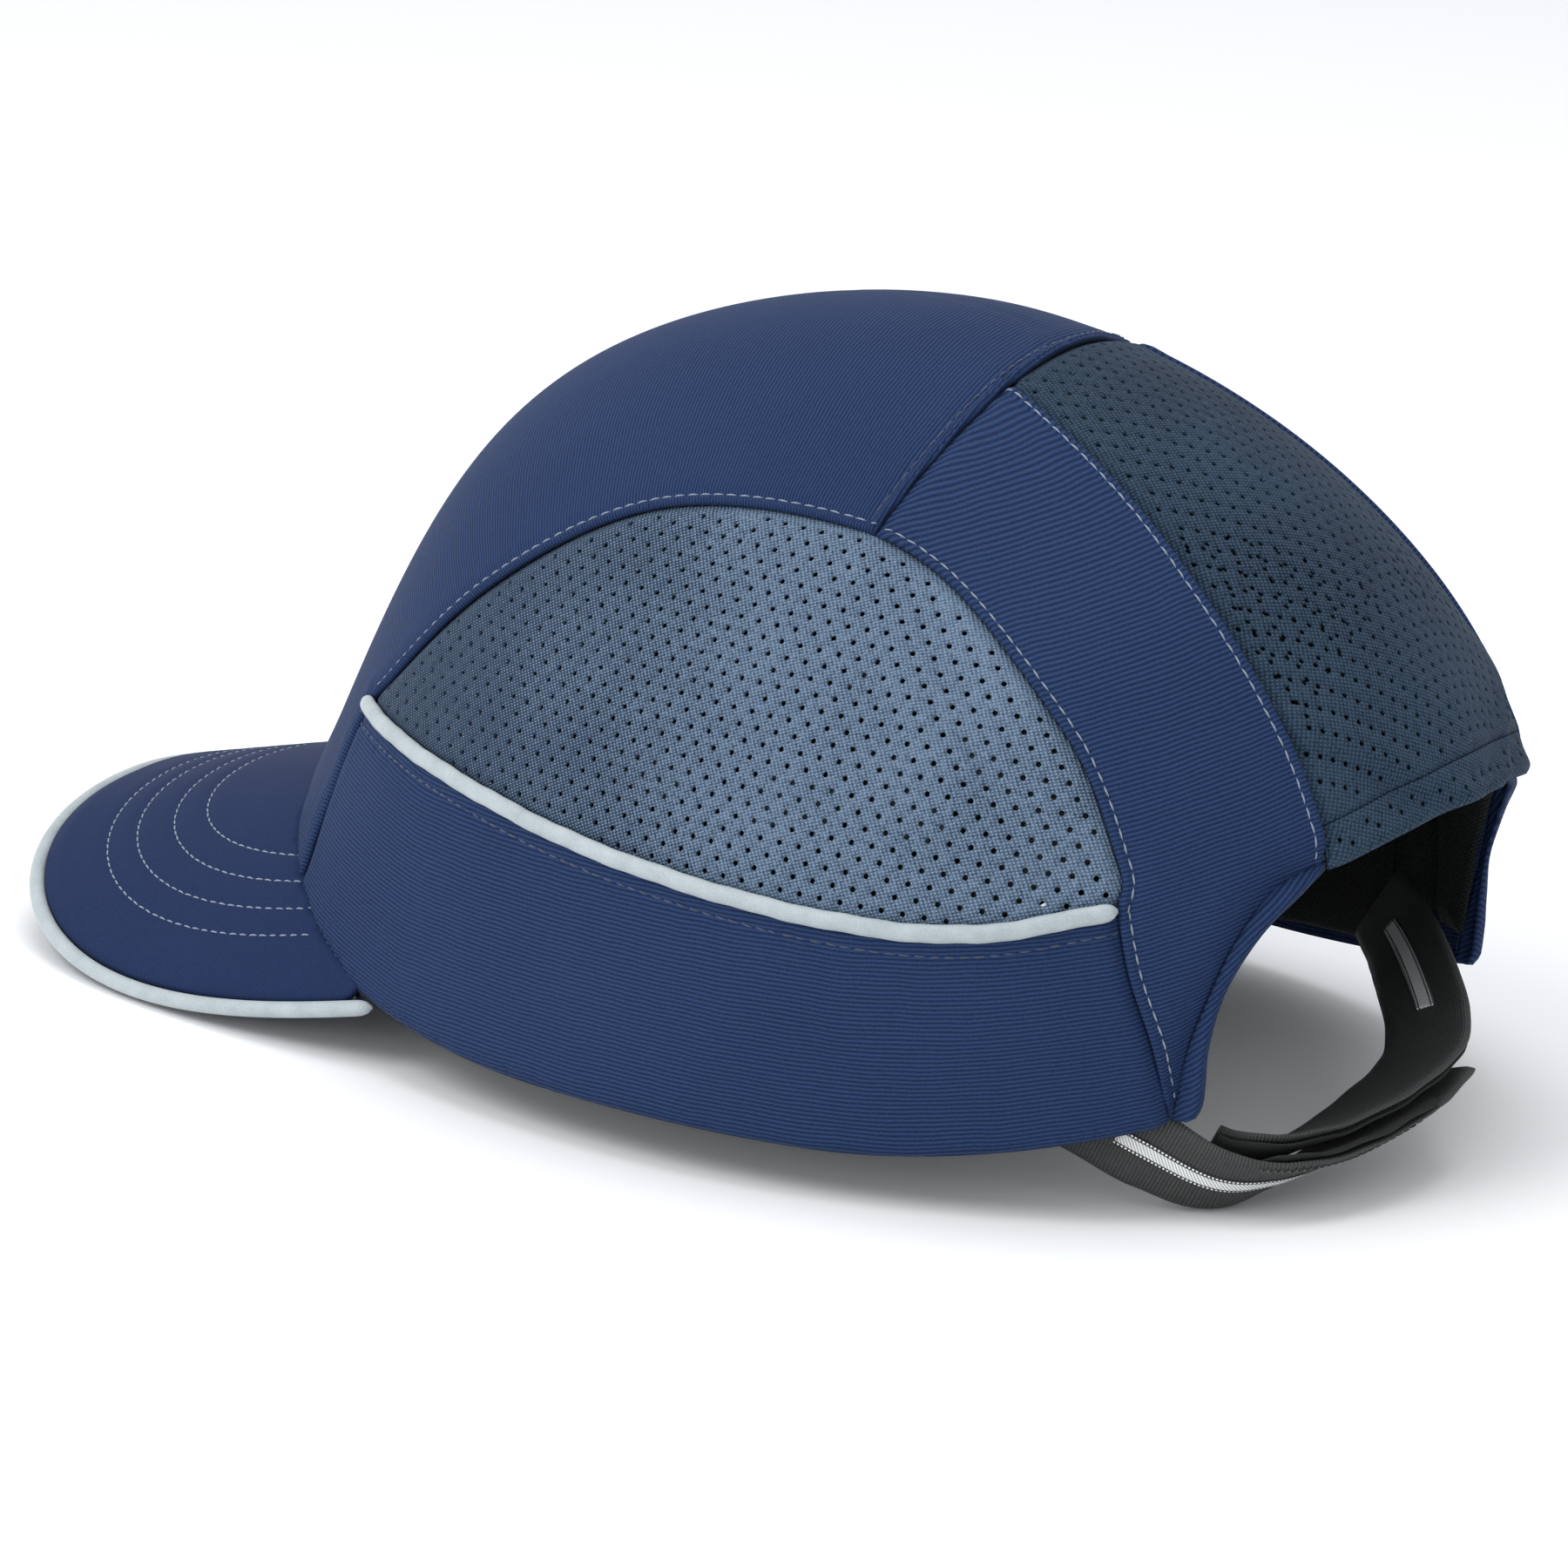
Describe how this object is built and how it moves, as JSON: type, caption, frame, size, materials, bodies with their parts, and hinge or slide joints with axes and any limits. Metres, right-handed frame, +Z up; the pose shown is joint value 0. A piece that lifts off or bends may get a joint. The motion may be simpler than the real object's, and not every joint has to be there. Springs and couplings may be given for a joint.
{
  "type": "bump cap",
  "caption": "Fabric baseball-style bump cap with a hard inner shell, foam pads, mesh vents, curved peak and a hook-and-loop strap across the rear opening.",
  "frame": {"origin": "middle of the footprint, on the surface the cap rests on", "axes": "+Z up, the peak points to -Y, the wearer's left is +X"},
  "size_m": [0.1704, 0.2785, 0.1339],
  "materials": {
    "twill": "navy ribbed twill weave, matt with a slight sheen",
    "mesh": "blue-grey knitted mesh with staggered round holes",
    "piping": "smooth silver-grey reflective piping",
    "lining": "black padded knit lining",
    "foam": "light grey closed-cell foam, matt",
    "shell": "moulded dark plastic, fine texture",
    "board": "flexible plastic sheet",
    "webbing": "black ribbed polyester webbing",
    "hook_and_loop": "black hook-and-loop pile",
    "stripe": "silver reflective woven stripe"
  },
  "bodies": {
    "cap": {"crown_panel": "twill", "side_band_left": "twill", "side_band_right": "twill", "rear_side_left": "twill", "rear_side_right": "twill", "opening_border_left": "twill", "opening_border_right": "twill", "peak_top": "twill", "peak_under": "twill", "rear_mesh": "mesh", "rear_hem": "mesh", "side_mesh_left": "mesh", "side_mesh_right": "mesh", "side_piping_left": "piping", "side_piping_right": "piping", "peak_piping": "piping", "rear_lining_left": "lining", "rear_lining_right": "lining", "sweatband": "lining", "pad_front": "foam", "pad_rear": "foam", "pad_left": "foam", "pad_right": "foam", "pad_crown": "foam", "shell": "shell", "peak_board": "board", "strap_root_left": "webbing", "strap_root_right": "webbing"},
    "strap_left": {"strap_left": "webbing", "stripe_left": "stripe", "hook_patch": "hook_and_loop"},
    "strap_tab": {"strap_tab": "webbing"},
    "strap_right": {"strap_right": "webbing", "stripe_right": "stripe", "loop_patch": "hook_and_loop"}
  },
  "joints": [
    {"name": "strap_left_swing", "type": "hinge", "parent": "cap", "child": "strap_left", "pos_m": [0.05204, 0.11159, 0.00887], "axis": [0, 0, -1], "range_deg": [0, 70]},
    {"name": "strap_tab_peel", "type": "hinge", "parent": "strap_left", "child": "strap_tab", "pos_m": [0.0111, 0.13174, 0.01258], "axis": [-0.105, -0.9519, -0.288], "range_deg": [0, 45]},
    {"name": "strap_right_swing", "type": "hinge", "parent": "cap", "child": "strap_right", "pos_m": [-0.05126, 0.0992, 0.02236], "axis": [0, 0, -1], "range_deg": [0, 20]}
  ]
}
